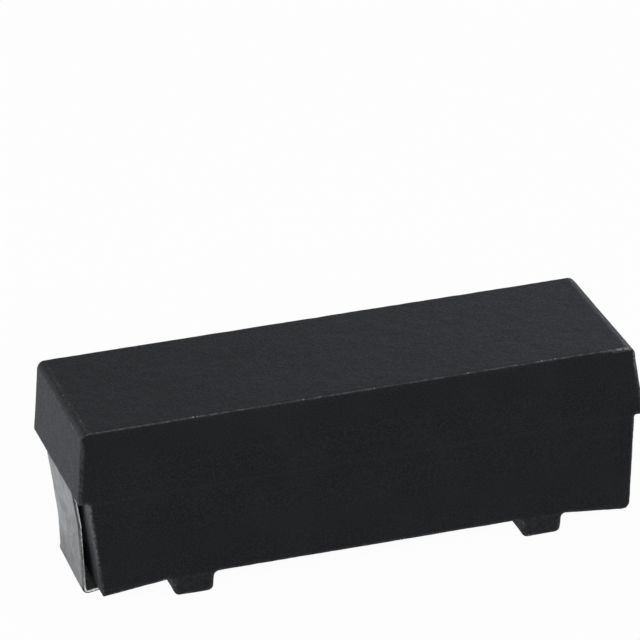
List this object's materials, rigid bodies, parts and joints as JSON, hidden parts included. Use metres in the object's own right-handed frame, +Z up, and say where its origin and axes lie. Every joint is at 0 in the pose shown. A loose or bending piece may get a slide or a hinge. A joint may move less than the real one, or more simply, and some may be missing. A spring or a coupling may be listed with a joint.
{
  "type": "surface mount power resistor",
  "caption": "Moulded surface-mount wirewound power resistor with J-formed strip terminals folded under its ends, rib feet and a blind hole in its base.",
  "frame": {"origin": "Middle of the body seen from above, on the plane of the rib feet, which is the board's surface.", "axes": "+X runs along the body from terminal to terminal, +Z is up and away from the board, and +Y completes the right-handed frame; the sloping webs under the lip are at the +Y corners."},
  "size_m": [0.025, 0.0084, 0.0082],
  "materials": {
    "moulding_compound": "fine matt moulded, almost black",
    "tinned_strip": "matt tin plate",
    "core_ceramic": "unglazed",
    "resistance_wire": "drawn wire, slightly oxidised",
    "cap_steel": "tinned pressed steel"
  },
  "bodies": {
    "root": {"moulded_body": "moulding_compound", "terminal_left": "tinned_strip", "terminal_right": "tinned_strip", "ceramic_core": "core_ceramic", "resistance_winding": "resistance_wire", "end_cap_left": "cap_steel", "end_cap_right": "cap_steel"}
  },
  "joints": []
}
